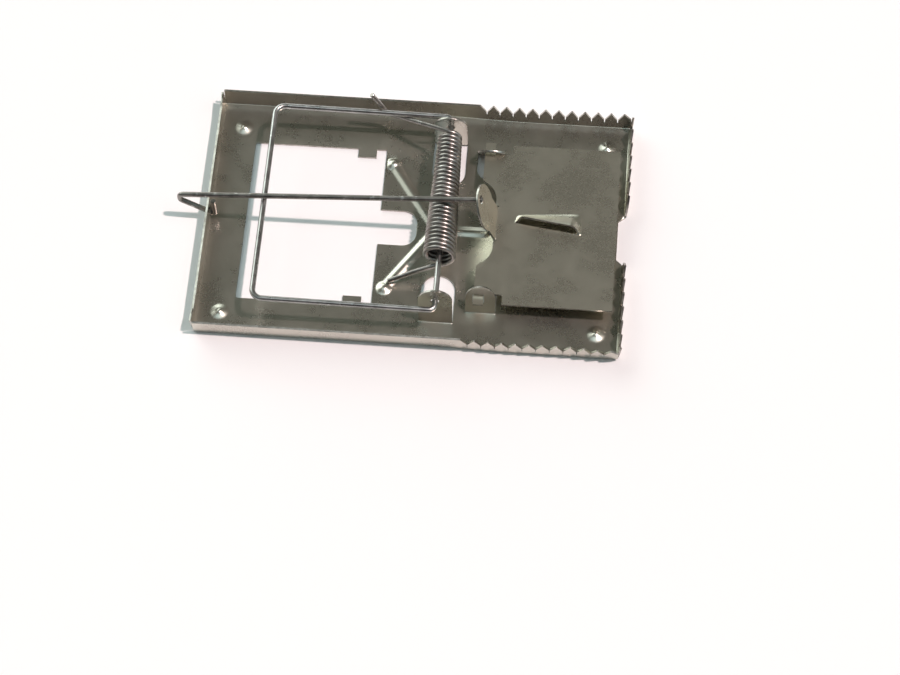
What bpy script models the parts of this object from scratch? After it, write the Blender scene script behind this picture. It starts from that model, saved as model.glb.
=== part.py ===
"""Sheet-steel snap mouse trap in its set position, as five separate pieces.

Metres, +Z up. +X runs along the trap from the locking rod's bend to the toothed end, +Y is the far
side. The pieces are drawn from the middle of the base plate's underside, and one parent empty then
puts the whole trap's bounding box, rod overhang included, centred over the origin.
"""
import math

import bmesh
import bpy
from mathutils import Matrix, Vector

MM = 0.001

# Base plate: pressed from one sheet, turned up on all four sides.
LENGTH = 100 * MM
WIDTH = 66 * MM
SHEET = 0.5 * MM
FLANGE = 5.5 * MM
CORNER_GAP = 0.35 * MM
ROD_OVERHANG = 7.61 * MM

# Teeth cut into the flanges of the closing half.
TOOTH_DEPTH = 2.4 * MM
SIDE_TOOTH_START = 13.1 * MM
SIDE_TOOTH_PITCH = 3.2 * MM
SIDE_TEETH = 11
END_TOOTH_START = 9.8 * MM
END_TOOTH_PITCH = 3.83 * MM
END_TEETH = 5

# Openings in the base's floor.
WINDOW_LEFT = -41.2 * MM
WINDOW_RIGHT = -8.9 * MM
WINDOW_HALF = 22.2 * MM
WINDOW_TAB = (-15.8 * MM, -11.4 * MM, 2.4 * MM)
RECESS_RIGHT = 0.1 * MM
RECESS_HALF = 4.9 * MM
RECESS_RADIUS = 3.4 * MM
NOTCH_X = 48.3 * MM
NOTCH_HALF = 5.4 * MM
NOTCH_CHAMFER = 1.4 * MM
NOTCH_EDGE = 7.6 * MM

# Raised ribs and dimples pressed into the floor.
RIB_RADIUS = 1.2 * MM
RIB_HEIGHT = 1.0 * MM
RIB_FORK = 5.0 * MM
RIB_ARM = (-6.1 * MM, 16.9 * MM)
RIB_STEM_END = 16.5 * MM
DIMPLE_X = 44.5 * MM
DIMPLE_Y = 26.3 * MM
DIMPLE_RADIUS = 2.0 * MM
DIMPLE_HEIGHT = 1.3 * MM

# Bail: a spring-steel wire frame that swings about the two bail ears.
PIVOT_X = 6.6 * MM
PIVOT_Z = 8.8 * MM
BAIL_EAR_Y = 25.5 * MM
BAIL_EAR_HALF = 4.0 * MM
BAIL_EAR_LEAN = math.radians(4)
BAIL_CUT_END = 13.2 * MM
BAIL_CUT_INSET = 0.3 * MM
BAIL_WIRE = 0.7 * MM
BAIL_REACH = 42.8 * MM
BAIL_HALF = 27.3 * MM
BAIL_CORNER = 2.4 * MM
BAIL_ELBOW = 1.5 * MM
BAIL_RISE = math.radians(0.94)
STUB_NEAR = -8.0 * MM
STUB_FAR = 17.0 * MM
BAIL_HOLE_PLAY = 0.35 * MM

# Torsion spring round the bail's two stubs.
COIL_NEAR = -12.6 * MM
COIL_FAR = 21.4 * MM
COIL_RADIUS_NEAR = 3.4 * MM
COIL_RADIUS_FAR = 2.4 * MM
SPRING_WIRE = 0.5 * MM
COIL_TURNS = 24
COIL_STEPS = 12
NEAR_LEG = ((-12.0 * MM, -16.2 * MM, 2.45 * MM), (-6.0 * MM, -14.2 * MM, 4.0 * MM))
NEAR_LEG_DROP = (-1.6 * MM, 0.5 * MM, 0.15 * MM)
FAR_LEG = ((-3.5 * MM, 22.4 * MM, 11.1 * MM), (-7.5 * MM, 23.8 * MM, 10.0 * MM))
FAR_HOOK_X = (-14.0 * MM, -16.2 * MM, -17.2 * MM, -19.5 * MM)
FAR_HOOK_TOP = 14.0 * MM
LEG_CLEARANCE = 0.35 * MM

# Locking rod: hooked through the left flange, its free end in the treadle's catch.
ROD_WIRE = 0.65 * MM
ROD_SLOPE = math.radians(4.24)
ROD_BEND_X = -56.4 * MM
ROD_BEND_Z = 9.62 * MM
ROD_LOW_Z = 7.5 * MM
ROD_TIP_X = 16.1 * MM
ROD_BEND_RADIUS = 0.9 * MM
ROD_TURN_RADIUS = 0.2 * MM
ROD_HOOK = ((-49.1 * MM, 2.35 * MM), (-48.45 * MM, 2.6 * MM), (-48.6 * MM, 7.6 * MM))
ROD_AXIS = (-49.5 * MM, 7.0 * MM)
ROD_SLOT = (1.5 * MM, 4.5 * MM, 1.1 * MM)

# Treadle: rocks between two smaller ears and carries the catch.
TREADLE_X = 16.45 * MM
TREADLE_Z = 5.0 * MM
TREADLE_RIGHT = 47.95 * MM
TREADLE_HALF = 22.5 * MM
TREADLE_SHOULDER = 22.0 * MM
TREADLE_NECK = 19.8 * MM
TREADLE_LEFT = 15.25 * MM
SCOOP = (13.25 * MM, 6.6 * MM, 5.6 * MM)
TRUNNION_RIGHT = 17.65 * MM
TRUNNION_END = 22.9 * MM
TREADLE_EAR_X = 16.95 * MM
TREADLE_EAR_HALF = 3.55 * MM
TREADLE_EAR_Y = 22.4 * MM
TREADLE_EAR_LEAN = math.radians(20)
TREADLE_EAR_HEIGHT = 8.1 * MM
TREADLE_EAR_HOLE = 4.45 * MM
TREADLE_HOLE_HALF = 1.45 * MM
TREADLE_CUT_END = 12.0 * MM
TREADLE_CUT_INSET = 0.1 * MM

# Catch: a round tab bent up from the treadle, with the hole that holds the rod.
CATCH_ROOT_X = 19.1 * MM
CATCH_ROOT_HALF = 4.6 * MM
CATCH_RADIUS = 5.6 * MM
CATCH_CENTRE = 7.2 * MM
CATCH_HOLE = 10.6 * MM
CATCH_HOLE_RADIUS = 1.1 * MM
CATCH_LEAN = math.radians(20)

# Bait louvre: a flap raised from the treadle.
LOUVRE_TIP = (24.0 * MM, 1.2 * MM)
LOUVRE_MOUTH = (38.2 * MM, -1.4 * MM)
LOUVRE_BACK = (37.6 * MM, 4.2 * MM)
LOUVRE_RISE = 2.3 * MM
LOUVRE_BITE = 0.3 * MM
LOUVRE_SKIM = 0.1 * MM

ARC_STEPS = 10


def clear_scene():
    for item in list(bpy.data.objects):
        bpy.data.objects.remove(item, do_unlink=True)


def steel(name, colour, roughness):
    material = bpy.data.materials.new(name)
    material.use_nodes = True
    shader = material.node_tree.nodes["Principled BSDF"]
    shader.inputs["Base Color"].default_value = (*colour, 1)
    shader.inputs["Roughness"].default_value = roughness
    shader.inputs["Metallic"].default_value = 1
    return material


def add_object(name, bm, material=None):
    bmesh.ops.recalc_face_normals(bm, faces=bm.faces)
    mesh = bpy.data.meshes.new(name)
    bm.to_mesh(mesh)
    bm.free()
    item = bpy.data.objects.new(name, mesh)
    bpy.context.collection.objects.link(item)
    if material:
        mesh.materials.append(material)
    return item


def arc(centre, radius, start, end, steps=ARC_STEPS):
    """Points on an arc in a plane, angles in degrees, both ends included."""
    angles = [math.radians(start + (end - start) * i / steps) for i in range(steps + 1)]
    return [(centre[0] + radius * math.cos(a), centre[1] + radius * math.sin(a)) for a in angles]


def mirror_outline(upper):
    """An outline's upper half, from right to left, closed by its mirror image below."""
    return upper + [(x, -y) for x, y in reversed(upper)]


def plate(loops, thickness, place):
    """A flat sheet with one outer loop and any holes, thickened along +Z and then placed."""
    bm = bmesh.new()
    edges = []
    for loop in loops:
        verts = [bm.verts.new((x, y, 0)) for x, y in loop]
        edges += [bm.edges.new((verts[i - 1], verts[i])) for i in range(len(verts))]
    bmesh.ops.triangle_fill(bm, edges=edges, use_beauty=True, normal=(0, 0, 1))
    grown = bmesh.ops.extrude_face_region(bm, geom=bm.faces[:])
    moved = [v for v in grown["geom"] if isinstance(v, bmesh.types.BMVert)]
    bmesh.ops.translate(bm, verts=moved, vec=(0, 0, thickness))
    bmesh.ops.transform(bm, matrix=place, verts=bm.verts)
    return bm


def helper(name, bm):
    """A shape that only adds to or cuts another object."""
    item = add_object(name, bm)
    item.hide_render = True
    item.display_type = "WIRE"
    return item


def combine(target, tool, operation):
    modifier = target.modifiers.new(tool.name, "BOOLEAN")
    modifier.operation = operation
    modifier.solver = "EXACT"
    modifier.object = tool


def upright(origin, along, up):
    """A matrix that stands a flat outline up: its x runs along, its y runs up, from origin."""
    x_axis = Vector(along).normalized()
    y_axis = Vector(up).normalized()
    z_axis = x_axis.cross(y_axis)
    turn = Matrix((x_axis, y_axis, z_axis)).transposed().to_4x4()
    return Matrix.Translation(origin) @ turn


def hull(points):
    bm = bmesh.new()
    for point in points:
        bm.verts.new(point)
    bmesh.ops.convex_hull(bm, input=bm.verts)
    loose = [v for v in bm.verts if not v.link_faces]
    bmesh.ops.delete(bm, geom=loose, context="VERTS")
    return bm


def wire(name, points, radius, material):
    """A round wire through the points, as a curve with a bevel and closed ends."""
    curve = bpy.data.curves.new(name, "CURVE")
    curve.dimensions = "3D"
    curve.bevel_depth = radius
    curve.bevel_resolution = 1
    curve.use_fill_caps = True
    spline = curve.splines.new("POLY")
    spline.points.add(len(points) - 1)
    for slot, point in zip(spline.points, points):
        slot.co = (*point, 1)
    curve.materials.append(material)
    item = bpy.data.objects.new(name, curve)
    bpy.context.collection.objects.link(item)
    return item


def rounded_path(corners, radii, steps=5):
    """A path through corners, each inner corner turned on an arc of the given radius."""
    path = [Vector(corners[0])]
    for i in range(1, len(corners) - 1):
        corner = Vector(corners[i])
        before = (Vector(corners[i - 1]) - corner).normalized()
        after = (Vector(corners[i + 1]) - corner).normalized()
        half = before.angle(after) / 2
        reach = radii[i - 1] / math.tan(half)
        middle = corner + (before + after).normalized() * radii[i - 1] / math.sin(half)
        start = corner + before * reach - middle
        end = corner + after * reach - middle
        sweep = start.angle(end)
        for k in range(steps + 1):
            t = k / steps
            spoke = (start * math.sin((1 - t) * sweep) + end * math.sin(t * sweep)) / math.sin(sweep)
            path.append(middle + spoke)
    path.append(Vector(corners[-1]))
    return path


# ---- base plate ----------------------------------------------------------------------------

def window_outline():
    tab_left, tab_right, tab_depth = WINDOW_TAB
    recess = arc((RECESS_RIGHT - RECESS_RADIUS, RECESS_HALF - RECESS_RADIUS), RECESS_RADIUS, 0, 90)
    upper = recess + [
        (WINDOW_RIGHT, RECESS_HALF),
        (WINDOW_RIGHT, WINDOW_HALF),
        (tab_right, WINDOW_HALF),
        (tab_right, WINDOW_HALF - tab_depth),
        (tab_left, WINDOW_HALF - tab_depth),
        (tab_left, WINDOW_HALF),
        (WINDOW_LEFT, WINDOW_HALF),
    ]
    return mirror_outline(upper)


def floor_outline():
    edge = LENGTH / 2 - SHEET / 2
    side = WIDTH / 2 - SHEET / 2
    upper = [
        (NOTCH_X, NOTCH_HALF),
        (NOTCH_X + NOTCH_CHAMFER, NOTCH_HALF + NOTCH_CHAMFER),
        (edge, NOTCH_EDGE),
        (edge, side),
        (-edge, side),
    ]
    return mirror_outline(upper)


def ear_cut(centre_x, half, inner, outer, side):
    """The opening left in the floor where an ear was bent up, with a round inner end."""
    end = arc((centre_x, inner + half), half, 180, 360)
    loop = end + [(centre_x + half, outer), (centre_x - half, outer)]
    return [(x, side * y) for x, y in loop]


def toothed_edge(start, pitch, count, plain_end, height):
    """The top edge of a flange from the last tooth back to the first, then its plain end."""
    points = [(plain_end, height)]
    for i in reversed(range(count)):
        left = start + i * pitch
        points += [(left + pitch, height), (left + pitch / 2, height - TOOTH_DEPTH)]
    points.append((start, height))
    return points


def make_flanges():
    half_x = LENGTH / 2
    half_y = WIDTH / 2
    side_end = half_x - SHEET - CORNER_GAP
    end_end = half_y - SHEET - CORNER_GAP
    teeth = toothed_edge(SIDE_TOOTH_START, SIDE_TOOTH_PITCH, SIDE_TEETH, side_end, FLANGE)
    side_loop = [(-side_end, 0), (side_end, 0)] + teeth + [(-side_end, FLANGE)]
    end_teeth = toothed_edge(END_TOOTH_START, END_TOOTH_PITCH, END_TEETH, end_end, FLANGE)
    lip = [(NOTCH_EDGE, FLANGE - NOTCH_CHAMFER)]
    end_loop = [(NOTCH_EDGE, 0), (end_end, 0)] + end_teeth + lip
    slot_low, slot_high, slot_half = ROD_SLOT
    slot = [
        (-slot_half, slot_low),
        (slot_half, slot_low),
        (slot_half, slot_high),
        (-slot_half, slot_high),
    ]
    left_loop = [(-end_end, 0), (end_end, 0), (end_end, FLANGE), (-end_end, FLANGE)]
    flanges = []
    for name, y in (("near_flange", -half_y + SHEET), ("far_flange", half_y)):
        stand = upright((0, y, 0), (1, 0, 0), (0, 0, 1))
        flanges.append(helper(name, plate([side_loop], SHEET, stand)))
    stand = upright((-half_x, 0, 0), (0, 1, 0), (0, 0, 1))
    flanges.append(helper("left_flange", plate([left_loop, slot], SHEET, stand)))
    for name, side in (("right_near_flange", -1), ("right_far_flange", 1)):
        x = half_x - SHEET if side > 0 else half_x
        stand = upright((x, 0, 0), (0, side, 0), (0, 0, 1))
        flanges.append(helper(name, plate([end_loop], SHEET, stand)))
    return flanges


def ear_place(x, y, lean, side):
    """Stand an ear on the floor's side edge, leaning in towards the middle line."""
    up = (0, -side * math.sin(lean), math.cos(lean))
    shift = SHEET if side < 0 else 0
    return upright((x, side * y + shift, 0), (1, 0, 0), up)


def make_ears():
    ears = []
    rise = PIVOT_Z / math.cos(BAIL_EAR_LEAN)
    bail_hole = arc((0, rise), BAIL_WIRE + BAIL_HOLE_PLAY, 0, 330, 11)
    root = SHEET / 2
    bail_top = arc((0, rise), BAIL_EAR_HALF, 0, 180)
    bail_loop = [(-BAIL_EAR_HALF, root), (BAIL_EAR_HALF, root)] + bail_top
    top = TREADLE_EAR_HEIGHT - TREADLE_EAR_HALF
    ear_top = arc((0, top), TREADLE_EAR_HALF, 0, 180)
    treadle_loop = [(-TREADLE_EAR_HALF, root), (TREADLE_EAR_HALF, root)] + ear_top
    middle = TREADLE_X - TREADLE_EAR_X
    left = middle - TREADLE_HOLE_HALF
    right = middle + TREADLE_HOLE_HALF
    low = TREADLE_EAR_HOLE - TREADLE_HOLE_HALF
    high = TREADLE_EAR_HOLE + TREADLE_HOLE_HALF
    square = [(left, low), (right, low), (right, high), (left, high)]
    for word, side in (("near", -1), ("far", 1)):
        place = ear_place(PIVOT_X, BAIL_EAR_Y, BAIL_EAR_LEAN, side)
        ears.append(helper(f"bail_ear_{word}", plate([bail_loop, bail_hole], SHEET, place)))
        place = ear_place(TREADLE_EAR_X, TREADLE_EAR_Y, TREADLE_EAR_LEAN, side)
        ears.append(helper(f"treadle_ear_{word}", plate([treadle_loop, square], SHEET, place)))
    return ears


def rib_bar(start, end):
    """A low half-round bar on the floor between two points, with round ends."""
    sides = 8
    points = []
    for centre in (start, end):
        for ring, scale in ((0, 1), (1, 0.8), (2, 0.35)):
            height = SHEET / 2 + (SHEET / 2 + RIB_HEIGHT) * ring / 2
            for x, y in arc(centre, RIB_RADIUS * scale, 0, 360, sides)[:-1]:
                points.append((x, y, height))
    return hull(points)


def make_embossing():
    shapes = []
    arm_x, arm_y = RIB_ARM
    ends = {"rib_far": (arm_x, arm_y), "rib_near": (arm_x, -arm_y), "rib_stem": (RIB_STEM_END, 0)}
    for name, end in ends.items():
        shapes.append(helper(name, rib_bar((RIB_FORK, 0), end)))
    rings = (
        (1, SHEET / 2),
        (0.95, SHEET * 1.2),
        (0.62, SHEET + 0.7 * DIMPLE_HEIGHT),
        (0.25, SHEET + DIMPLE_HEIGHT),
    )
    for x_word, x in (("left", -DIMPLE_X), ("right", DIMPLE_X)):
        for y_word, y in (("near", -DIMPLE_Y), ("far", DIMPLE_Y)):
            points = []
            for scale, height in rings:
                ring = arc((x, y), DIMPLE_RADIUS * scale, 0, 360, 12)[:-1]
                points += [(a, b, height) for a, b in ring]
            shapes.append(helper(f"dimple_{x_word}_{y_word}", hull(points)))
    return shapes


def make_base():
    loops = [floor_outline(), window_outline()]
    for side in (-1, 1):
        half = BAIL_EAR_HALF - BAIL_CUT_INSET
        loops.append(ear_cut(PIVOT_X, half, BAIL_CUT_END, BAIL_EAR_Y - SHEET, side))
        half = TREADLE_EAR_HALF - TREADLE_CUT_INSET
        loops.append(ear_cut(TREADLE_EAR_X, half, TREADLE_CUT_END, TREADLE_EAR_Y - SHEET, side))
    material = steel("tinned_sheet", (0.36, 0.35, 0.3), 0.38)
    base = add_object("base_plate", plate(loops, SHEET, Matrix.Identity(4)), material)
    for shape in make_flanges() + make_ears() + make_embossing():
        combine(base, shape, "UNION")
    return base


# ---- moving pieces -------------------------------------------------------------------------

def empty(name, place):
    item = bpy.data.objects.new(name, None)
    item.location = place
    bpy.context.collection.objects.link(item)
    return item


def hang(piece, pivot):
    """Parent a piece to its pivot, keeping its own points in world coordinates."""
    piece.parent = pivot
    piece.location = -pivot.location


def make_bail(material):
    def arm(reach, y):
        return (PIVOT_X - reach * math.cos(BAIL_RISE), y, PIVOT_Z + reach * math.sin(BAIL_RISE))

    corners = [
        (PIVOT_X, STUB_NEAR, PIVOT_Z),
        arm(0, -BAIL_HALF),
        arm(BAIL_REACH, -BAIL_HALF),
        arm(BAIL_REACH, BAIL_HALF),
        arm(0, BAIL_HALF),
        (PIVOT_X, STUB_FAR, PIVOT_Z),
    ]
    path = rounded_path(corners, [BAIL_ELBOW, BAIL_CORNER, BAIL_CORNER, BAIL_ELBOW])
    bail = wire("bail", path, BAIL_WIRE, material)
    hang(bail, empty("bail_pivot", (PIVOT_X, 0, PIVOT_Z)))


def make_spring(material):
    """Close-wound coil, tapering towards the far end, with a leg at each end."""
    drop_x, drop_y, drop_z = NEAR_LEG_DROP
    path = [Vector((PIVOT_X + x, y, z)) for x, y, z in NEAR_LEG]
    start_z = PIVOT_Z - COIL_RADIUS_NEAR - drop_z
    path.append(Vector((PIVOT_X + drop_x, COIL_NEAR - drop_y, start_z)))
    steps = COIL_TURNS * COIL_STEPS + COIL_STEPS // 2
    for i in range(steps + 1):
        t = i / steps
        angle = 2 * math.pi * i / COIL_STEPS - math.pi / 2
        radius = COIL_RADIUS_NEAR + (COIL_RADIUS_FAR - COIL_RADIUS_NEAR) * t
        x = PIVOT_X + radius * math.cos(angle)
        y = COIL_NEAR + (COIL_FAR - COIL_NEAR) * t
        path.append(Vector((x, y, PIVOT_Z + radius * math.sin(angle))))

    # The far leg comes off the top of the coil, passes under the bail's arm and hooks up outside it.
    path += [Vector((PIVOT_X + x, y, z)) for x, y, z in FAR_LEG]
    gap = BAIL_WIRE + SPRING_WIRE + LEG_CLEARANCE
    under_arm = PIVOT_Z - FAR_HOOK_X[1] * math.sin(BAIL_RISE) - gap
    inside, below, turn, tip = (PIVOT_X + x for x in FAR_HOOK_X)
    path += [
        Vector((inside, BAIL_HALF - 2 * BAIL_WIRE, under_arm)),
        Vector((below, BAIL_HALF + 0.5 * BAIL_WIRE, under_arm)),
        Vector((turn, BAIL_HALF + gap, under_arm + BAIL_WIRE)),
        Vector((tip, BAIL_HALF + gap, FAR_HOOK_TOP)),
    ]
    wire("torsion_spring", path, SPRING_WIRE, material)


def make_rod(material):
    tip_z = ROD_BEND_Z + (ROD_TIP_X - ROD_BEND_X) * math.tan(ROD_SLOPE)
    low, turn, top = ROD_HOOK
    corners = [
        (ROD_TIP_X, 0, tip_z),
        (ROD_BEND_X - ROD_WIRE, 0, ROD_BEND_Z),
        (ROD_BEND_X - ROD_WIRE, 0, ROD_LOW_Z),
        (low[0], 0, low[1]),
        (turn[0], 0, turn[1]),
        (top[0], 0, top[1]),
    ]
    radii = [ROD_BEND_RADIUS] * 2 + [ROD_TURN_RADIUS] * 2
    path = rounded_path(corners, radii, steps=3)
    rod = wire("locking_rod", path, ROD_WIRE, material)
    hang(rod, empty("rod_pivot", (ROD_AXIS[0], 0, ROD_AXIS[1])))


def treadle_outline():
    upper = [
        (TREADLE_RIGHT, TREADLE_HALF),
        (TREADLE_SHOULDER, TREADLE_HALF),
        (TREADLE_SHOULDER, TREADLE_NECK),
        (TRUNNION_RIGHT, TREADLE_NECK),
        (TRUNNION_RIGHT, TRUNNION_END),
        (TREADLE_LEFT, TRUNNION_END),
        (TREADLE_LEFT, TREADLE_CUT_END),
    ]
    scoop_x, scoop_y, scoop_radius = SCOOP
    upper += arc((scoop_x, scoop_y), scoop_radius, 60, 0, 5)
    upper.append((scoop_x + scoop_radius - SHEET / 2, CATCH_ROOT_HALF + SHEET / 2))
    return mirror_outline(upper)


def make_treadle(material):
    bottom = TREADLE_Z - SHEET / 2
    top = TREADLE_Z + SHEET / 2
    opening = [LOUVRE_TIP, LOUVRE_MOUTH, LOUVRE_BACK]
    sheet = plate([treadle_outline(), opening], SHEET, Matrix.Translation((0, 0, bottom)))
    treadle = add_object("treadle", sheet, material)

    open_angle = math.degrees(math.asin(CATCH_ROOT_HALF / CATCH_RADIUS))
    loop = [(-CATCH_ROOT_HALF, 0), (CATCH_ROOT_HALF, 0)]
    loop += arc((0, CATCH_CENTRE), CATCH_RADIUS, open_angle - 90, 270 - open_angle, 20)
    hole = arc((0, CATCH_HOLE), CATCH_HOLE_RADIUS, 0, 330, 11)
    up = (-math.sin(CATCH_LEAN), 0, math.cos(CATCH_LEAN))
    place = upright((CATCH_ROOT_X, 0, TREADLE_Z), (0, 1, 0), up) @ Matrix.Translation((0, 0, -SHEET / 2))
    combine(treadle, helper("catch_tab", plate([loop, hole], SHEET, place)), "UNION")

    def lifted(point, height, shift=(0, 0)):
        return (point[0] + shift[0], point[1] + shift[1], height)

    bite = LOUVRE_BITE
    skim = LOUVRE_SKIM
    crest = top + LOUVRE_RISE
    flap = []
    for height in (bottom + skim, top + skim):
        flap += [lifted(LOUVRE_TIP, height, (-bite, 0)), lifted(LOUVRE_BACK, height, (bite, bite))]
    flap += [lifted(LOUVRE_MOUTH, height, (bite, 0)) for height in (crest - SHEET, crest)]
    combine(treadle, helper("louvre_flap", hull(flap)), "UNION")
    end_wall = []
    for x in (-0.5 * bite, SHEET):
        for height in (bottom + skim, crest - skim):
            end_wall.append(lifted(LOUVRE_MOUTH, height, (x, -bite)))
        for height in (bottom + skim, top + 2 * skim):
            end_wall.append(lifted(LOUVRE_BACK, height, (x, 0)))
    combine(treadle, helper("louvre_end", hull(end_wall)), "UNION")
    hang(treadle, empty("treadle_pivot", (TREADLE_X, 0, TREADLE_Z)))


def centre_trap():
    """Hang every piece, helper and pivot on one empty that centres the trap over the origin."""
    loose = [item for item in bpy.context.scene.objects if item.parent is None]
    centre = empty("trap_centre", (ROD_OVERHANG / 2, 0, 0))
    for item in loose:
        item.parent = centre


clear_scene()
make_base()
make_bail(steel("bail_wire", (0.3, 0.29, 0.28), 0.3))
make_spring(steel("spring_wire", (0.34, 0.32, 0.3), 0.25))
make_rod(steel("rod_wire", (0.27, 0.27, 0.26), 0.35))
make_treadle(steel("treadle_sheet", (0.38, 0.37, 0.32), 0.36))
centre_trap()
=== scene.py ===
"""Snap mouse trap of stamped tinned steel and spring wire, shown set."""

import math

import bmesh
import bpy
from mathutils import Matrix, Vector


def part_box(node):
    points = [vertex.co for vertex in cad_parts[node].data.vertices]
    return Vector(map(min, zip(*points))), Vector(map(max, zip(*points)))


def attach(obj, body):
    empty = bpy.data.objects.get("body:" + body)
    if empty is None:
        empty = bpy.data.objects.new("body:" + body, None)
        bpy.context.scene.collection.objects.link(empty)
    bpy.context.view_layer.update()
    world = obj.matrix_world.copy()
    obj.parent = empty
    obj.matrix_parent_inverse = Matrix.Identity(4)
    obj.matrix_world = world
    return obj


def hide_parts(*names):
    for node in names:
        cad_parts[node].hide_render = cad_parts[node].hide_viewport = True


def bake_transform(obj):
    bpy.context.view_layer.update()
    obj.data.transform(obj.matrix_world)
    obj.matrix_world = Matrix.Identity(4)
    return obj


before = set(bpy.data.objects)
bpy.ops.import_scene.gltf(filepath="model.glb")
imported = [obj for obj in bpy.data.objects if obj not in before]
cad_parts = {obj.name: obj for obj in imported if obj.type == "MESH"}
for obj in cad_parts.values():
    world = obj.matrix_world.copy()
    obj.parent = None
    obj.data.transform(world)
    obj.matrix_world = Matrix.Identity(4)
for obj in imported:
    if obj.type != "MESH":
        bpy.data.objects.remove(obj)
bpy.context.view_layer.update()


# ---- Base plate ------------------------------------------------------------------------------
# The base is one blank of thin tinned steel. The window, the ear slits and the teeth are cut in
# the flat, the ribs and dimples are pressed up from below, and then the four flanges and the
# four ears are folded up.

# Everything on the trap is drawn in millimetres from the middle of the base plate's underside.
base_low, base_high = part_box("base_plate")
trap_place = Matrix.Translation(((base_low[0] + base_high[0]) / 2, 0, 0)) @ Matrix.Scale(0.001, 4)
sheet = 0.5
middle_height = sheet / 2

base_half_length = 50.0
base_half_width = 33.0
flange_height = 5.5
bend_radius = 0.42
bend_steps = 5
kerf = 0.08


class Flow:
    """An output socket in a material, on which sums make Math nodes."""

    def __init__(self, tree, socket=None):
        self.tree = tree
        self.socket = socket

    def node(self, kind, settings, inputs, output=0):
        made = self.tree.nodes.new(kind)
        for name, value in settings.items():
            if name == "stops":
                for place, colour in value[1:-1]:
                    made.color_ramp.elements.new(place)
                for stop, (place, colour) in zip(made.color_ramp.elements, value):
                    stop.position = place
                    stop.color = (*colour, 1)
            else:
                setattr(made, name, value)
        for name, value in inputs.items():
            if isinstance(value, Flow):
                self.tree.links.new(value.socket, made.inputs[name])
            else:
                made.inputs[name].default_value = value
        return Flow(self.tree, made.outputs[output])

    def sum(self, operation, first, second):
        return self.node("ShaderNodeMath", {"operation": operation}, {0: first, 1: second})

    def __add__(self, other):
        return self.sum("ADD", self, other)

    def __radd__(self, other):
        return self.sum("ADD", other, self)

    def __sub__(self, other):
        return self.sum("SUBTRACT", self, other)

    def __rsub__(self, other):
        return self.sum("SUBTRACT", other, self)

    def __mul__(self, other):
        return self.sum("MULTIPLY", self, other)

    def __rmul__(self, other):
        return self.sum("MULTIPLY", other, self)

    def step(self, low, high):
        """0 below low and 1 above high, smooth in between."""
        settings = {"interpolation_type": "SMOOTHSTEP"}
        return self.node("ShaderNodeMapRange", settings, {"Value": self, "From Min": low, "From Max": high})

    def blend(self, first, second):
        """The first colour where this is 0, and the second where it is 1."""
        return self.node("ShaderNodeMix", {"data_type": "RGBA"}, {0: self, 6: first, 7: second}, 2)


def noise(place, size, detail=2.0, rough=0.5, stretch=(1, 1, 1)):
    """Soft noise with features of about this size in millimetres, drawn out along an axis."""
    scale = tuple(1000.0 / (size * s) for s in stretch)
    turned = place.node("ShaderNodeMapping", {}, {"Vector": place, "Scale": scale})
    inputs = {"Vector": turned, "Scale": 1.0, "Detail": detail, "Roughness": rough}
    return place.node("ShaderNodeTexNoise", {}, inputs)


def tinned_steel(name, dark, light, roughness):
    """Tinplate: cloudy tin, a fine rolling grain along the strip, small scuffs and dull specks."""
    material = bpy.data.materials.new(name)
    material.use_nodes = True
    shader = material.node_tree.nodes["Principled BSDF"]
    start = Flow(material.node_tree)
    here = start.node("ShaderNodeTexCoord", {}, {}, "Object")

    cloud = noise(here, 9.0, 4.0, 0.55).step(0.3, 0.7)
    mottle = noise(here, 1.1, 3.0, 0.6).step(0.32, 0.68)
    grain = noise(here, 0.12, 2.0, 0.6, (40, 1, 1))
    specks = noise(here, 0.55, 1.0, 0.4).step(0.72, 0.78)
    scuff = noise(here, 0.35, 3.0, 0.7, (1, 9, 1)).step(0.6, 0.85) * noise(here, 7.0).step(0.45, 0.65)

    tin = cloud.blend((*dark, 1), (*light, 1))
    warm = (mottle * 0.15).blend(tin, (light[0] * 0.92, light[1] * 0.86, light[2] * 0.84, 1))
    worn = (specks * 0.08).blend(warm, (0.25, 0.22, 0.18, 1))
    colour = (scuff * 0.1).blend(worn, (0.86, 0.85, 0.82, 1))
    material.node_tree.links.new(colour.socket, shader.inputs["Base Color"])

    rough = roughness + cloud * 0.03 + mottle * 0.015 + scuff * 0.03 + specks * 0.02
    material.node_tree.links.new(rough.socket, shader.inputs["Roughness"])
    relief = grain * 0.3 + mottle * 0.03
    inputs = {"Height": relief, "Strength": 0.15, "Distance": 0.00001}
    bump = start.node("ShaderNodeBump", {}, inputs)
    material.node_tree.links.new(bump.socket, shader.inputs["Normal"])
    shader.inputs["Metallic"].default_value = 0.97
    return material


def sheared_edge(name):
    """The bare steel of a cut edge: bright, with a torn band of fine vertical lines."""
    material = bpy.data.materials.new(name)
    material.use_nodes = True
    shader = material.node_tree.nodes["Principled BSDF"]
    start = Flow(material.node_tree)
    here = start.node("ShaderNodeTexCoord", {}, {}, "Object")
    torn = noise(here, 0.08, 2.0, 0.6, (1, 1, 8))
    patch = noise(here, 1.5, 3.0, 0.6)
    colour = patch.step(0.3, 0.7).blend((0.32, 0.3, 0.27, 1), (0.52, 0.5, 0.46, 1))
    material.node_tree.links.new(colour.socket, shader.inputs["Base Color"])
    material.node_tree.links.new((0.24 + torn * 0.16).socket, shader.inputs["Roughness"])
    inputs = {"Height": torn, "Strength": 0.3, "Distance": 0.00003}
    bump = start.node("ShaderNodeBump", {}, inputs)
    material.node_tree.links.new(bump.socket, shader.inputs["Normal"])
    shader.inputs["Metallic"].default_value = 1
    return material


def arc(centre, radius, start, end, steps=12):
    """Points on an arc, angles in degrees, both ends included."""
    turns = [math.radians(start + (end - start) * i / steps) for i in range(steps + 1)]
    return [(centre[0] + radius * math.cos(a), centre[1] + radius * math.sin(a)) for a in turns]


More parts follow.
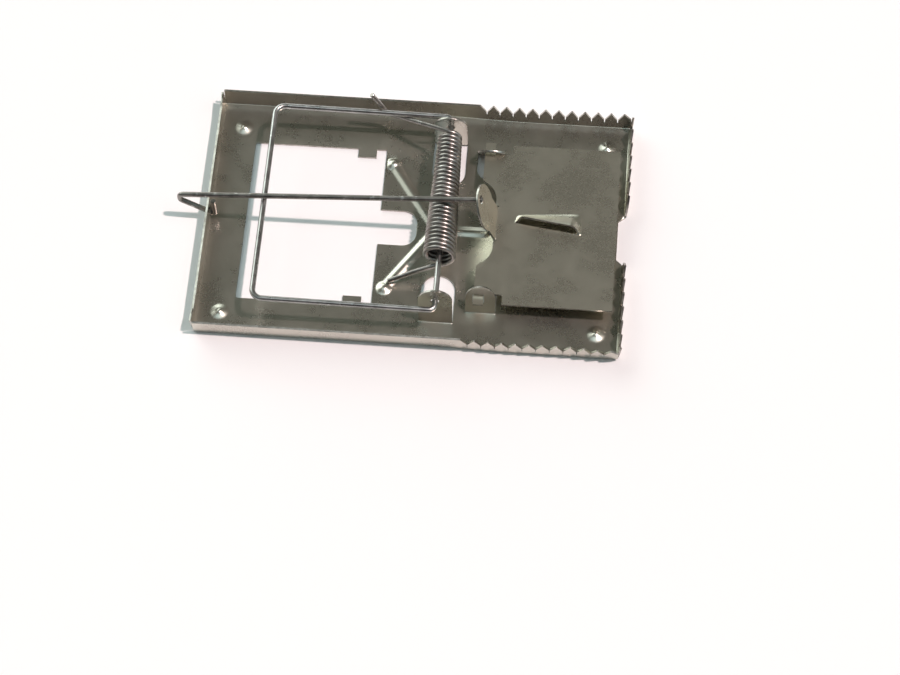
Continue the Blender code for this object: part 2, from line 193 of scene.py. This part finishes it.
def both_halves(upper):
    """The outline's far half, closed by its mirror image on the near side."""
    return upper + [(x, -y) for x, y in reversed(upper)]


def blank(loops):
    """A flat piece of sheet inside the first loop, with the other loops cut out of it."""
    bm = bmesh.new()
    edges = []
    for loop in loops:
        verts = [bm.verts.new((x, y, 0)) for x, y in loop]
        edges += [bm.edges.new(pair) for pair in zip(verts, verts[1:] + verts[:1])]
    bmesh.ops.triangle_fill(bm, edges=edges, use_beauty=True, normal=(0, 0, 1))
    return bm


def score(bm, axis, places, low, high):
    """Divide the blank along straight lines inside a rectangle, so that it can bend there."""
    point = Vector((0, 0, 0))
    normal = Vector((0, 0, 0))
    normal[axis] = 1

    def span(face, way):
        reached = [v.co[way] for v in face.verts]
        return min(reached), max(reached)

    ahead = []
    for face in bm.faces:
        (left, right), (near, far) = span(face, 0), span(face, 1)
        if left < high[0] and right > low[0] and near < high[1] and far > low[1]:
            ahead.append(face)
    for place in sorted(places):
        crossed = [f for f in ahead if span(f, axis)[0] < place < span(f, axis)[1]]
        later = [f for f in ahead if span(f, axis)[0] >= place]
        edges = {e for f in crossed for e in f.edges}
        verts = {v for e in edges for v in e.verts}
        point[axis] = place
        geom = [*verts, *edges, *crossed]
        cut = bmesh.ops.bisect_plane(bm, geom=geom, dist=0.0005, plane_co=point, plane_no=normal)
        halves = [f for f in cut["geom"] if isinstance(f, bmesh.types.BMFace)]
        ahead = later + [f for f in halves if span(f, axis)[1] > place + 0.001]


def spread(low, high, gap):
    """Evenly spaced places from low to high, about gap apart."""
    count = max(1, round((high - low) / gap))
    return [low + (high - low) * i / count for i in range(count + 1)]


def fold(reach, angle, radius=bend_radius):
    """Where a point this far past a bend's start ends up: how far out and how far up."""
    turn = math.radians(angle)
    if reach <= 0:
        return reach, 0.0
    if reach < radius * turn:
        return radius * math.sin(reach / radius), radius * (1 - math.cos(reach / radius))
    rest = reach - radius * turn
    out = radius * math.sin(turn) + rest * math.cos(turn)
    return out, radius * (1 - math.cos(turn)) + rest * math.sin(turn)


def reach_for(height, angle, radius=bend_radius):
    """How far past a bend's start the flat sheet must run to stand this high above its middle."""
    turn = math.radians(angle)
    return radius * turn + (height - radius * (1 - math.cos(turn))) / math.sin(turn)


def pressed_sheet(name, bm, tin, edge, body, node):
    """Give the folded blank its thickness, ease its cut edges and put it on the trap."""
    bmesh.ops.remove_doubles(bm, verts=bm.verts, dist=0.004)
    bmesh.ops.dissolve_degenerate(bm, edges=bm.edges, dist=0.004)
    mesh = bpy.data.meshes.new(name + "_blank")
    bm.to_mesh(mesh)
    bm.free()
    raw = bpy.data.objects.new(name + "_blank", mesh)
    bpy.context.collection.objects.link(raw)
    mesh.materials.append(tin)
    mesh.materials.append(edge)
    wall = raw.modifiers.new("thickness", "SOLIDIFY")
    wall.thickness = sheet
    wall.offset = 0
    wall.use_even_offset = True
    wall.use_quality_normals = True
    wall.material_offset_rim = 1
    ready = bpy.data.meshes.new_from_object(raw.evaluated_get(bpy.context.evaluated_depsgraph_get()))
    bpy.data.objects.remove(raw)

    bm = bmesh.new()
    bm.from_mesh(ready)
    corners = [e for e in bm.edges if len(e.link_faces) == 2 and e.calc_face_angle(0) > math.radians(50)]
    bmesh.ops.bevel(bm, geom=corners, offset=0.05, offset_type="OFFSET", affect="EDGES", segments=2,
                    profile=0.5, material=-1, clamp_overlap=True, miter_outer="SHARP")
    bmesh.ops.transform(bm, matrix=trap_place, verts=bm.verts)
    bm.to_mesh(ready)
    bm.free()
    ready.name = name
    ready.shade_smooth()
    ready.set_sharp_from_angle(angle=math.radians(38))
    piece = bpy.data.objects.new(name, ready)
    bpy.context.collection.objects.link(piece)
    level = piece.modifiers.new("flat faces shade flat", "WEIGHTED_NORMAL")
    level.weight = 100
    level.keep_sharp = True
    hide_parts(node)
    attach(piece, body)
    return piece


# The bends start a little inside the base's edges. The far flange stands almost straight and the
# others lean out. The blank is laid out for the middling angle.
flange_angle = 86
far_angle = 88.5
near_angle = 81.0
left_angle = 85.5
right_angle = 84.0
end_setback = 0.45
side_setback = 0.72
bend_x = base_half_length - end_setback
bend_y = base_half_width - side_setback
flange_top = reach_for(flange_height - middle_height, flange_angle)


def flange_reach(height):
    return reach_for(height - middle_height, flange_angle)


# A tooth has straight flanks and a blunt tip, and each valley ends in a narrow relief slit.
tooth_valley = 3.2
slit_bottom = 1.9
slit_half = 0.11
tip_half = 0.13


def tooth_row(tips, pitch, bend):
    """The toothed top of a flange from its last tip back to its first, as (along, flat reach)."""
    row = []
    for tip in reversed(tips):
        valley = tip - pitch / 2
        row.append((tip + tip_half, bend + flange_top))
        row.append((tip - tip_half, bend + flange_top))
        row.append((valley + slit_half, bend + flange_reach(tooth_valley)))
        row.append((valley + slit_half, bend + flange_reach(slit_bottom)))
        row.append((valley - slit_half, bend + flange_reach(slit_bottom)))
        row.append((valley - slit_half, bend + flange_reach(tooth_valley)))
    row.append((tips[0] - pitch, bend + flange_top))
    return row


side_pitch = 3.2
side_tips = [16.3 + side_pitch * i for i in range(11)]
side_teeth = tooth_row(side_tips, side_pitch, bend_y)
end_pitch = 3.83
end_tips = [13.63 + end_pitch * i for i in range(5)]
end_teeth = [(x, y) for y, x in tooth_row(end_tips, end_pitch, bend_x)]
corner_tip = 32.35
corner_valley = 30.87

# Half of the outline: the right flange with its notch, the toothed side flange, the left flange.
notch_x = 48.3
right_flange = [
    (notch_x, 5.4),
    (bend_x + 0.7, 7.1),
    (bend_x + flange_reach(3.6), 7.9),
]
corner_tooth = [
    (bend_x + flange_top, corner_tip - 0.05),
    (bend_x + flange_top, corner_tip - 0.3),
    (bend_x + flange_reach(tooth_valley), corner_valley + slit_half),
    (bend_x + flange_reach(slit_bottom), corner_valley + slit_half),
    (bend_x + flange_reach(slit_bottom), corner_valley - slit_half),
    (bend_x + flange_reach(tooth_valley), corner_valley - slit_half),
]
right_flange += list(reversed(corner_tooth + end_teeth))
right_flange += [(bend_x + flange_reach(2.0), bend_y), (bend_x + 0.1, bend_y - 0.03)]
far_flange = [
    (bend_x, bend_y + 0.1), (bend_x + 0.45, bend_y + 0.9),
    (bend_x + 0.45, bend_y + flange_reach(3.7)),
]
far_flange += side_teeth
far_flange += [
    (-bend_x - 0.4, bend_y + flange_top), (-bend_x - 0.4, bend_y + 0.9), (-bend_x, bend_y + 0.1),
]
left_flange = [(-bend_x - 0.1, bend_y - 0.03), (-bend_x - 1.3, bend_y), (-bend_x - flange_top, bend_y + 0.1)]
base_outline = both_halves(right_flange + far_flange + left_flange)

# The window has a round recess under the spring, two square tabs and eased left corners.
window_recess = arc((-3.3, 1.5), 3.4, 0, 90)
window = both_halves(window_recess + [
    (-8.9, 4.9), (-8.9, 22.2), (-11.4, 22.2), (-11.4, 19.8), (-15.8, 19.8), (-15.8, 22.2),
    (-40.7, 22.2), (-41.05, 22.05), (-41.2, 21.7),
])
rod_slot = [
    (-bend_x - flange_reach(1.6), -1.0), (-bend_x - flange_reach(1.6), 1.0),
    (-bend_x - flange_reach(4.4), 1.0), (-bend_x - flange_reach(4.4), -1.0),
]


class Ear:
    """An ear slit out of the floor on three sides and folded up along its outer side."""

    def __init__(self, centre, half, foot, lean, height, side):
        self.centre = centre
        self.half = half
        self.side = side
        self.angle = 90 - lean
        self.radius = 0.6
        self.past_hinge = 0.3
        slack = self.radius * math.tan(math.radians(self.angle) / 2)
        self.hinge = foot + slack
        self.offset = self.radius * math.radians(self.angle) - slack
        self.top = height

    def flat(self, up_the_ear):
        """The blank's y for a point this far up the finished ear."""
        return self.side * (self.hinge - up_the_ear - self.offset)

    def slit(self):
        """The narrow cut round the ear: its floor side, then its ear side back again."""
        tip = self.top - self.half
        centre = (self.centre, abs(self.flat(tip)))
        outer = arc(centre, self.half + kerf, 180, 360, 24)
        inner = arc(centre, self.half, 360, 180, 24)
        foot = self.hinge + self.past_hinge
        outer = [(self.centre - self.half - kerf, foot)] + outer
        outer.append((self.centre + self.half + kerf, foot))
        inner = [(self.centre + self.half, foot)] + inner
        inner.append((self.centre - self.half, foot))
        return [(x, self.side * y) for x, y in outer + inner]

    def holds(self, x, y):
        """Whether a point of the blank is inside this ear."""
        if abs(x - self.centre) > self.half + kerf / 2 or y * self.side <= 0:
            return False
        reach = self.hinge - y * self.side
        if reach < 0:
            return False
        past_round = max(0.0, reach - (self.top - self.half + self.offset))
        return past_round == 0 or math.hypot(x - self.centre, past_round) < self.half + kerf / 2

    def raise_point(self, x, y):
        """Where a point of the blank is once the ear stands up."""
        out, up = fold(self.hinge - y * self.side, self.angle, self.radius)
        return x, self.side * (self.hinge - out), up


pivot_x = 6.6
pivot_z = 8.8
treadle_pivot_x = 16.45
treadle_ear_x = 16.95
bail_ear_half = 4.0
bail_ear_lean = 4
ears = []
ear_holes = []
for side in (-1, 1):
    up_ear = (pivot_z - middle_height) / math.cos(math.radians(bail_ear_lean))
    ear = Ear(pivot_x, bail_ear_half, 25.25, bail_ear_lean, up_ear + bail_ear_half, side)
    ears.append(ear)
    ear_holes.append(arc((pivot_x, ear.flat(up_ear)), 1.0, 0, 345, 23))
    # The far treadle ear leans in further than the near one, from a foot further out.
    foot, lean, up_ear = (22.85, 28, 4.65) if side > 0 else (22.15, 20, 4.35)
    ear = Ear(treadle_ear_x, 3.55, foot, lean, 7.95, side)
    ears.append(ear)
    hole = 1.35
    hole_y = ear.flat(up_ear)
    ear_holes.append([
        (treadle_pivot_x - hole, hole_y - hole), (treadle_pivot_x + hole, hole_y - hole),
        (treadle_pivot_x + hole, hole_y + hole), (treadle_pivot_x - hole, hole_y + hole),
    ])

base = blank([base_outline, window, rod_slot] + [ear.slit() for ear in ears] + ear_holes)

bend_length = bend_radius * math.radians(flange_angle)
everywhere = ((-90, -90), (90, 90))
bend_lines = [bend_length * i / bend_steps for i in range(bend_steps + 1)]
for line in bend_lines:
    score(base, 0, (-bend_x - line, bend_x + line), *everywhere)
    score(base, 1, (-bend_y - line, bend_y + line), *everywhere)
for line in (28.7, 29.5, 30.3, 30.8, 31.3, 31.8):
    score(base, 1, (-line, line), *everywhere)
for ear in ears:
    ear_bend = ear.radius * math.radians(ear.angle)
    rows = [ear.side * (ear.hinge - ear_bend * i / 6) for i in range(7)]
    ends = (ear.side * (ear.hinge + ear.past_hinge + 0.01), ear.side * (ear.hinge - ear_bend - 0.1))
    low_y, high_y = sorted(ends)
    score(base, 1, rows, (ear.centre - ear.half, low_y), (ear.centre + ear.half, high_y))

# The three ribs meet under the spring. The near one and the far one end in a round swelling
# beside the window.
rib_half = 1.7
rib_height = 0.42
rib_end_half = 2.2
rib_end_height = 0.75
rib_lines = [((5.0, 0), (-7.0, 18.2)), ((5.0, 0), (-6.3, -17.1)), ((5.0, 0), (16.5, 0))]
rib_low = (-8.6, -19.2)
rib_high = (18.4, 19.8)
score(base, 0, spread(rib_low[0], rib_high[0], 0.3), rib_low, rib_high)
score(base, 1, spread(rib_low[1], rib_high[1], 0.3), rib_low, rib_high)
dimple_half = 2.5
dimples = [(x, y) for x in (-44.5, 44.5) for y in (-26.3, 26.3)]
for x, y in dimples:
    low = (x - dimple_half, y - dimple_half)
    high = (x + dimple_half, y + dimple_half)
    score(base, 0, spread(low[0], high[0], 0.2), low, high)
    score(base, 1, spread(low[1], high[1], 0.2), low, high)


def mound(distance, half, height):
    """A round-topped swelling that fades out at half its width."""
    return height / 2 * (1 + math.cos(math.pi * distance / half)) if distance < half else 0.0


def off_line(x, y, start, end):
    """How far a point is from the straight line between two ends."""
    run = Vector((end[0] - start[0], end[1] - start[1]))
    here = Vector((x - start[0], y - start[1]))
    along = min(1, max(0, here.dot(run) / run.length_squared))
    return (here - run * along).length


def ease(t):
    """Smooth rise from 0 to 1."""
    t = min(1, max(0, t))
    return t * t * (3 - 2 * t)


# Both side flanges stand a little towards the far side, more so at the left. The near one flares
# out at its right end, and the end flanges follow it at the near corners. The left one bows in, and
# the floor curves up gently before each side bend.
side_drift = 0.8
drift_fade = 0.5
near_flare = 0.08
corner_flare = 0.13
left_bow = 0.17
strip_rise = 0.12
for vert in base.verts:
    x, y, z = vert.co
    ear = next((e for e in ears if e.holds(x, y)), None)
    sideways = ease((abs(y) - 28.7) / 3) * (side_drift - drift_fade * ease((x - 5) / 20))
    corner_lean = corner_flare * ease((-y - 31) / 1.3)
    if ear:
        vert.co = ear.raise_point(x, y)
    elif abs(y) > bend_y and abs(y) - bend_y > abs(x) - bend_x:
        out, z = fold(abs(y) - bend_y, far_angle if y > 0 else near_angle)
        z += strip_rise
        flare = 0 if y > 0 else near_flare * z * ease((x - 39) / 7)
        vert.co = (x, math.copysign(bend_y + out + flare, y) + sideways, z)
    elif x > bend_x:
        out, z = fold(x - bend_x, right_angle)
        vert.co = (bend_x + out, y - corner_lean * z + sideways, z)
    elif x < -bend_x:
        out, z = fold(-x - bend_x, left_angle)
        bow = left_bow * z * (1 - (y / bend_y) ** 2)
        vert.co = (-bend_x - out + bow, y - corner_lean * z + sideways, z)
    else:
        z = max(mound(off_line(x, y, *line), rib_half, rib_height) for line in rib_lines)
        for rib in rib_lines[:2]:
            z = max(z, mound(math.dist((x, y), rib[1]), rib_end_half, rib_end_height))
        for spot in dimples:
            away = math.dist((x, y), spot)
            z += mound(away, dimple_half, 0.5) + mound(away, 1.0, 0.2)
        vert.co.y = y + sideways
        vert.co.z = z + strip_rise * ease((abs(y) - 30.3) / 1.9)
bmesh.ops.translate(base, verts=base.verts, vec=(0, 0, middle_height))

base_tin = tinned_steel("tinned_base", (0.59, 0.57, 0.5), (0.65, 0.625, 0.55), 0.26)
cut_edge = sheared_edge("bare_cut_edge")
pressed_sheet("base_tray", base, base_tin, cut_edge, "base", "base_plate")


# ---- Treadle ---------------------------------------------------------------------------------
# The treadle is a second stamping of the same tinned sheet. Its two side tabs sit in the square
# holes of the small ears, the round catch is folded up at its left edge, and the bait louvre is
# slit along one side and pressed up.

treadle_height = 5.0
catch_root = 19.1
catch_half = 4.6
catch_radius = 5.6
catch_angle = 70
catch_bend = 0.55

catch_slack = catch_bend * math.tan(math.radians(catch_angle) / 2)
catch_offset = catch_bend * math.radians(catch_angle) - catch_slack
catch_start = catch_root + catch_slack
disc_x = catch_start - 7.2 - catch_offset
hole_x = catch_start - 10.6 - catch_offset
disc_open = math.degrees(math.asin(catch_half / catch_radius))

# Half of the outline: the plate, the tab, the curved neck and the catch before it is folded up.
treadle_upper = [(47.95, 22.1), (47.83, 22.38), (47.55, 22.5), (22.0, 22.5), (22.0, 20.0), (21.8, 19.8)]
treadle_upper += [(17.75, 19.8), (17.65, 19.9), (17.65, 22.9), (15.25, 22.9), (15.25, 12.2)]
treadle_upper += arc((13.25, 6.6), 5.6, 62, 6, 8)
treadle_upper += [(18.85, 4.95), (catch_start + 0.15, 4.95), (catch_start + 0.15, catch_half)]
treadle_upper += arc((disc_x, 0), catch_radius, disc_open, 180, 26)[:-1]
treadle_outline = both_halves(treadle_upper + [(disc_x - catch_radius, 0.05)])

slit_left = Vector((23.77, 0.39))
slit_right = Vector((38.49, -1.7))
slit_run = slit_right - slit_left
slit_length = slit_run.length
slit_run = slit_run / slit_length
slit_side = Vector((-slit_run.y, slit_run.x))
louvre_rise = 2.1
slit_taper = slit_run * 0.3
slit_gap = slit_side * 0.03
slit_cut = [
    tuple(slit_left), tuple(slit_left + slit_taper - slit_gap),
    tuple(slit_right - slit_taper - slit_gap), tuple(slit_right),
    tuple(slit_right - slit_taper + slit_gap), tuple(slit_left + slit_taper + slit_gap),
]
catch_hole = arc((hole_x, 0), 1.1, 0, 345, 23)
treadle = blank([treadle_outline, slit_cut, catch_hole])

catch_lines = [catch_start - catch_bend * math.radians(catch_angle) * i / 6 for i in range(7)]
score(treadle, 0, catch_lines, (5, -4.8), (catch_start + 0.1, 4.8))
louvre_low = (23.2, -2.4)
louvre_high = (40.2, 5.2)
score(treadle, 0, spread(louvre_low[0], louvre_high[0], 0.22), louvre_low, louvre_high)
score(treadle, 1, spread(louvre_low[1], louvre_high[1], 0.22), louvre_low, louvre_high)


def louvre_height(x, y):
    """The flap behind the slit: highest at its lip, running out into the plate at the crease."""
    here = Vector((x, y)) - slit_left
    along = here.dot(slit_run)
    back = here.dot(slit_side)
    width = 2.1 + (5.6 - 2.1) * along / slit_length
    if back <= 0 or along <= -0.2 or back >= width:
        return 0.0
    slope = 1 - back / width
    slope = slope * slope * (3 - 2 * slope) * 0.35 + slope * 0.65
    left = ease((along + 0.1) / 1.6)
    right_end = slit_length + 0.9 - 0.12 * back
    right = math.sqrt(ease((right_end - along) / 2.6)) if along < right_end else 0.0
    return louvre_rise * slope * left * right


for vert in treadle.verts:
    x, y, z = vert.co
    if x < catch_start and abs(y) < 5.7 and (abs(y) < catch_half + 0.1 or x < 17.9):
        if abs(y) <= catch_half + 0.01 or math.dist((x, y), (disc_x, 0)) < catch_radius + 0.05:
            out, up = fold(catch_start - x, catch_angle, catch_bend)
            vert.co = (catch_start - out, y, up)
    elif louvre_low[0] < x < louvre_high[0] and louvre_low[1] < y < louvre_high[1]:
        up = louvre_height(x, y)
        shift = slit_side * 0.33 * up
        vert.co = (x + shift.x, y + shift.y, up)
bmesh.ops.translate(treadle, verts=treadle.verts, vec=(0, 0, treadle_height))

treadle_tin = tinned_steel("tinned_treadle", (0.75, 0.715, 0.62), (0.8, 0.765, 0.66), 0.26)
pressed_sheet("bait_treadle", treadle, treadle_tin, cut_edge, "treadle", "treadle")


# ---- Bail ------------------------------------------------------------------------------------
# The bail is the striking frame: hard-drawn spring wire bent to three sides of a rectangle. Its
# two ends turn in through the bail ears and are its axle.

bail_radius = 0.7
bail_reach = 42.8
bail_half = 27.3
bail_rise = math.radians(0.94)


def drawn_wire(name, dark, light, roughness):
    """Drawn wire: fine die lines along it, a grey oil film and small bright rubs."""
    material = bpy.data.materials.new(name)
    material.use_nodes = True
    shader = material.node_tree.nodes["Principled BSDF"]
    start = Flow(material.node_tree)
    here = start.node("ShaderNodeTexCoord", {}, {}, "Object")
    film = noise(here, 3.0, 4.0, 0.6).step(0.3, 0.7)
    fine = noise(here, 0.25, 3.0, 0.65)
    rub = noise(here, 1.6, 2.0, 0.5).step(0.6, 0.72)
    colour = film.blend((*dark, 1), (*light, 1))
    colour = (rub * 0.4).blend(colour, (0.8, 0.78, 0.76, 1))
    material.node_tree.links.new(colour.socket, shader.inputs["Base Color"])
    rough = roughness + film * 0.08 + fine * 0.08 - rub * 0.06
    material.node_tree.links.new(rough.socket, shader.inputs["Roughness"])
    inputs = {"Height": fine + film * 0.5, "Strength": 0.25, "Distance": 0.00002}
    bump = start.node("ShaderNodeBump", {}, inputs)
    material.node_tree.links.new(bump.socket, shader.inputs["Normal"])
    shader.inputs["Metallic"].default_value = 1
    return material


def rounded_path(corners, radii, steps=14):
    """A path through corners, each inner corner turned on an arc of the given radius."""
    path = [Vector(corners[0])]
    for before, corner, after, radius in zip(corners, corners[1:], corners[2:], radii):
        corner = Vector(corner)
        back = (Vector(before) - corner).normalized()
        onward = (Vector(after) - corner).normalized()
        half = back.angle(onward) / 2
        centre = corner + (back + onward).normalized() * radius / math.sin(half)
        start = corner + back * radius / math.tan(half) - centre
        end = corner + onward * radius / math.tan(half) - centre
        sweep = start.angle(end)
        for i in range(steps + 1):
            t = i / steps
            turned = start * math.sin((1 - t) * sweep) + end * math.sin(t * sweep)
            path.append(centre + turned / math.sin(sweep))
    path.append(Vector(corners[-1]))
    return path


def bent_wire(name, path, radius, metal, node, body=None):
    """Round wire along a path, with cropped and lightly eased ends."""
    eased = 0.12
    start = path[0] + (path[1] - path[0]).normalized() * eased
    end = path[-1] + (path[-2] - path[-1]).normalized() * eased
    path = [path[0], start] + list(path[1:-1]) + [end, path[-1]]
    curve = bpy.data.curves.new(name + "_line", "CURVE")
    curve.dimensions = "3D"
    curve.twist_mode = "MINIMUM"
    curve.bevel_depth = radius
    curve.bevel_resolution = 5
    curve.use_fill_caps = True
    line = curve.splines.new("POLY")
    line.points.add(len(path) - 1)
    for point, place in zip(line.points, path):
        point.co = (*place, 1)
    line.points[0].radius = 0.8
    line.points[-1].radius = 0.8
    raw = bpy.data.objects.new(name + "_line", curve)
    bpy.context.collection.objects.link(raw)
    mesh = bpy.data.meshes.new_from_object(raw.evaluated_get(bpy.context.evaluated_depsgraph_get()))
    bpy.data.objects.remove(raw)
    bm = bmesh.new()
    bm.from_mesh(mesh)
    bmesh.ops.remove_doubles(bm, verts=bm.verts, dist=0.0005)
    bmesh.ops.recalc_face_normals(bm, faces=bm.faces)
    bmesh.ops.transform(bm, matrix=trap_place, verts=bm.verts)
    bm.to_mesh(mesh)
    bm.free()
    mesh.name = name
    mesh.materials.clear()
    mesh.materials.append(metal)
    mesh.shade_smooth()
    mesh.set_sharp_from_angle(angle=math.radians(40))
    piece = bpy.data.objects.new(name, mesh)
    bpy.context.collection.objects.link(piece)
    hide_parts(node)
    if body:
        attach(piece, body)
    return piece


def on_arm(reach, y):
    """A point on the bail this far out from its axle."""
    return (pivot_x - reach * math.cos(bail_rise), y, pivot_z + reach * math.sin(bail_rise))


bail_corners = [
    (pivot_x, -8.0, pivot_z), on_arm(0, -bail_half), on_arm(bail_reach, -bail_half),
    on_arm(bail_reach, bail_half), on_arm(0, bail_half), (pivot_x, 17.0, pivot_z),
]
bail_path = rounded_path(bail_corners, [1.5, 2.4, 2.4, 1.5])
bail_steel = drawn_wire("bail_spring_wire", (0.36, 0.35, 0.34), (0.5, 0.49, 0.48), 0.24)
bent_wire("striking_bail", bail_path, bail_radius, bail_steel, "bail", "bail")


# ---- Torsion spring --------------------------------------------------------------------------
# One close-wound coil of bright spring wire over the bail's axle, a little slimmer towards the
# far end. The near leg rests on the floor, and the far leg hooks round the bail's far arm.

coil_near = -12.6
coil_far = 21.4
coil_radius_near = 3.4
coil_radius_far = 2.4
spring_radius = 0.55
coil_turns = 29.5
coil_steps = 32

spring_path = [
    Vector((pivot_x - 12.0, -16.2, 2.45)),
    Vector((pivot_x - 6.0, coil_near - 1.6, 4.0)),
    Vector((pivot_x - 1.6, coil_near - 0.5, pivot_z - coil_radius_near - 0.15)),
]
# The coil runs from near to far and narrows as it goes.
for i in range(int(coil_turns * coil_steps) + 1):
    t = i / (coil_turns * coil_steps)
    turn = 2 * math.pi * i / coil_steps - math.pi / 2
    radius = coil_radius_near + (coil_radius_far - coil_radius_near) * t
    y = coil_near + (coil_far - coil_near) * t
    spring_path.append(Vector((pivot_x + radius * math.cos(turn), y, pivot_z + radius * math.sin(turn))))
# The far leg runs straight down and out, passes under the arm and turns up outside it.
hook = rounded_path([
    (pivot_x - 0.9, coil_far + 0.35, pivot_z + coil_radius_far + 0.02),
    (-9.15, 29.05, 6.35),
    (-12.9, 28.95, 14.0),
], [0.9])
spring_path += hook
spring_steel = drawn_wire("coil_spring_wire", (0.25, 0.225, 0.21), (0.4, 0.37, 0.35), 0.24)
spring = bent_wire("torsion_coil", spring_path, spring_radius, spring_steel, "torsion_spring")
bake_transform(spring)


# ---- Locking rod -----------------------------------------------------------------------------
# The locking rod is one straight wire that holds the bail down. Its left end is bent back
# through the slot in the left flange and turned up inside, and its tip sits in the catch.

rod_radius = 0.65
rod_slope = math.radians(4.24)
rod_bend_x = -55.8
rod_bend_z = 9.62
rod_tip_x = 16.1
rod_tip_z = rod_bend_z + (rod_tip_x - rod_bend_x) * math.tan(rod_slope)
rod_corners = [
    (rod_tip_x, 0, rod_tip_z),
    (rod_bend_x - rod_radius, 0, rod_bend_z),
    (rod_bend_x - rod_radius, 0, 7.5),
    (-49.1, 0, 2.35),
    (-48.45, 0, 2.6),
    (-48.6, 0, 7.6),
]
rod_path = rounded_path(rod_corners, [0.9, 0.9, 0.25, 0.25])
rod_steel = drawn_wire("dull_rod_wire", (0.2, 0.185, 0.17), (0.3, 0.28, 0.26), 0.28)
bent_wire("holding_rod", rod_path, rod_radius, rod_steel, "locking_rod", "rod")


# ---- Floor, light and camera -----------------------------------------------------------------
# A white paper floor, one hard light from high on the right, a cool soft sky that is bright at the
# far left and overhead and dark where the trap mirrors it, and a camera above the near side.

bm = bmesh.new()
bmesh.ops.create_grid(bm, x_segments=1, y_segments=1, size=3.0)
floor_mesh = bpy.data.meshes.new("paper_floor")
bm.to_mesh(floor_mesh)
bm.free()
floor = bpy.data.objects.new("paper_floor", floor_mesh)
bpy.context.collection.objects.link(floor)
paper = bpy.data.materials.new("white_paper")
paper.use_nodes = True
paper_shader = paper.node_tree.nodes["Principled BSDF"]
paper_shader.inputs["Base Color"].default_value = (0.93, 0.93, 0.94, 1)
paper_shader.inputs["Roughness"].default_value = 0.9
paper_shader.inputs["Specular IOR Level"].default_value = 0.1
floor_mesh.materials.append(paper)

world = bpy.data.worlds.new("soft_room")
world.use_nodes = True
bpy.context.scene.world = world
sky = Flow(world.node_tree)
direction = sky.node("ShaderNodeTexCoord", {}, {}, "Generated")


def patch(under, centre, low, high, colour):
    """A soft round patch of another brightness in this direction."""
    centre = tuple(Vector(centre).normalized())
    facing = sky.node("ShaderNodeVectorMath", {"operation": "DOT_PRODUCT"}, {0: direction, 1: centre}, 1)
    return facing.step(low, high).blend(under, (*colour, 1))


# From the dim horizon up: the open sky, a dark far-right wall, a dark left wall, a window at the far
# left, a pale zenith, the dim ceiling that the trap's floor mirrors, and a dark shape in front.
horizon = (0.2, 0.26, 0.27, 1)
shade = patch(horizon, (0, 0, 1), 0.25, 0.6, (0.84, 1.08, 1.1))
shade = patch(shade, (0.45, 0.8, 0.3), 0.55, 0.85, (0.1, 0.11, 0.09))
shade = patch(shade, (-0.78, 0.1, 0.6), 0.7, 0.9, (0.12, 0.115, 0.1))
shade = patch(shade, (-0.52, 0.7, 0.48), 0.78, 0.95, (2.7, 3.0, 2.85))
shade = patch(shade, (0, 0, 1), 0.88, 0.98, (1.1, 1.4, 1.45))
shade = patch(shade, (-0.047, 0.502, 0.864), 0.83, 0.95, (0.052, 0.053, 0.038))
shade = patch(shade, (0.03, -0.82, 0.57), 0.62, 0.86, (0.03, 0.028, 0.028))
background = world.node_tree.nodes["Background"]
world.node_tree.links.new(shade.socket, background.inputs["Color"])
background.inputs["Strength"].default_value = 1.0

key = bpy.data.lights.new("window_light", "SUN")
key.energy = 2.4
key.angle = math.radians(2.5)
key.color = (1.0, 0.8, 0.78)
key_object = bpy.data.objects.new("window_light", key)
key_object.rotation_mode = "QUATERNION"
light_travel = Vector((-0.47, 0.05, -1.0))
key_object.rotation_quaternion = light_travel.to_track_quat("-Z", "Y")
bpy.context.collection.objects.link(key_object)

azimuth = math.radians(5.37992)
height_angle = math.radians(59.71933)
roll = math.radians(-1.10856)
ahead = math.cos(height_angle)
look = Vector((-math.sin(azimuth) * ahead, math.cos(azimuth) * ahead, -math.sin(height_angle)))
level = Vector((math.cos(azimuth), math.sin(azimuth), 0))
above = level.cross(look)
right = level * math.cos(roll) + above * math.sin(roll)
top = above * math.cos(roll) - level * math.sin(roll)
camera = bpy.data.cameras.new("camera")
camera.sensor_width = 36
camera.lens = 115.1672
camera.clip_start = 0.01
camera.clip_end = 20
camera_object = bpy.data.objects.new("camera", camera)
aim = Vector((10.387, -29.237, 0))
distance = 676.847
camera_place = trap_place @ (aim - look * distance)
camera_turn = Matrix((right, top, -look)).transposed().to_4x4()
camera_object.matrix_world = Matrix.Translation(camera_place) @ camera_turn
bpy.context.collection.objects.link(camera_object)
bpy.context.scene.camera = camera_object
bpy.context.scene.view_settings.view_transform = "Standard"
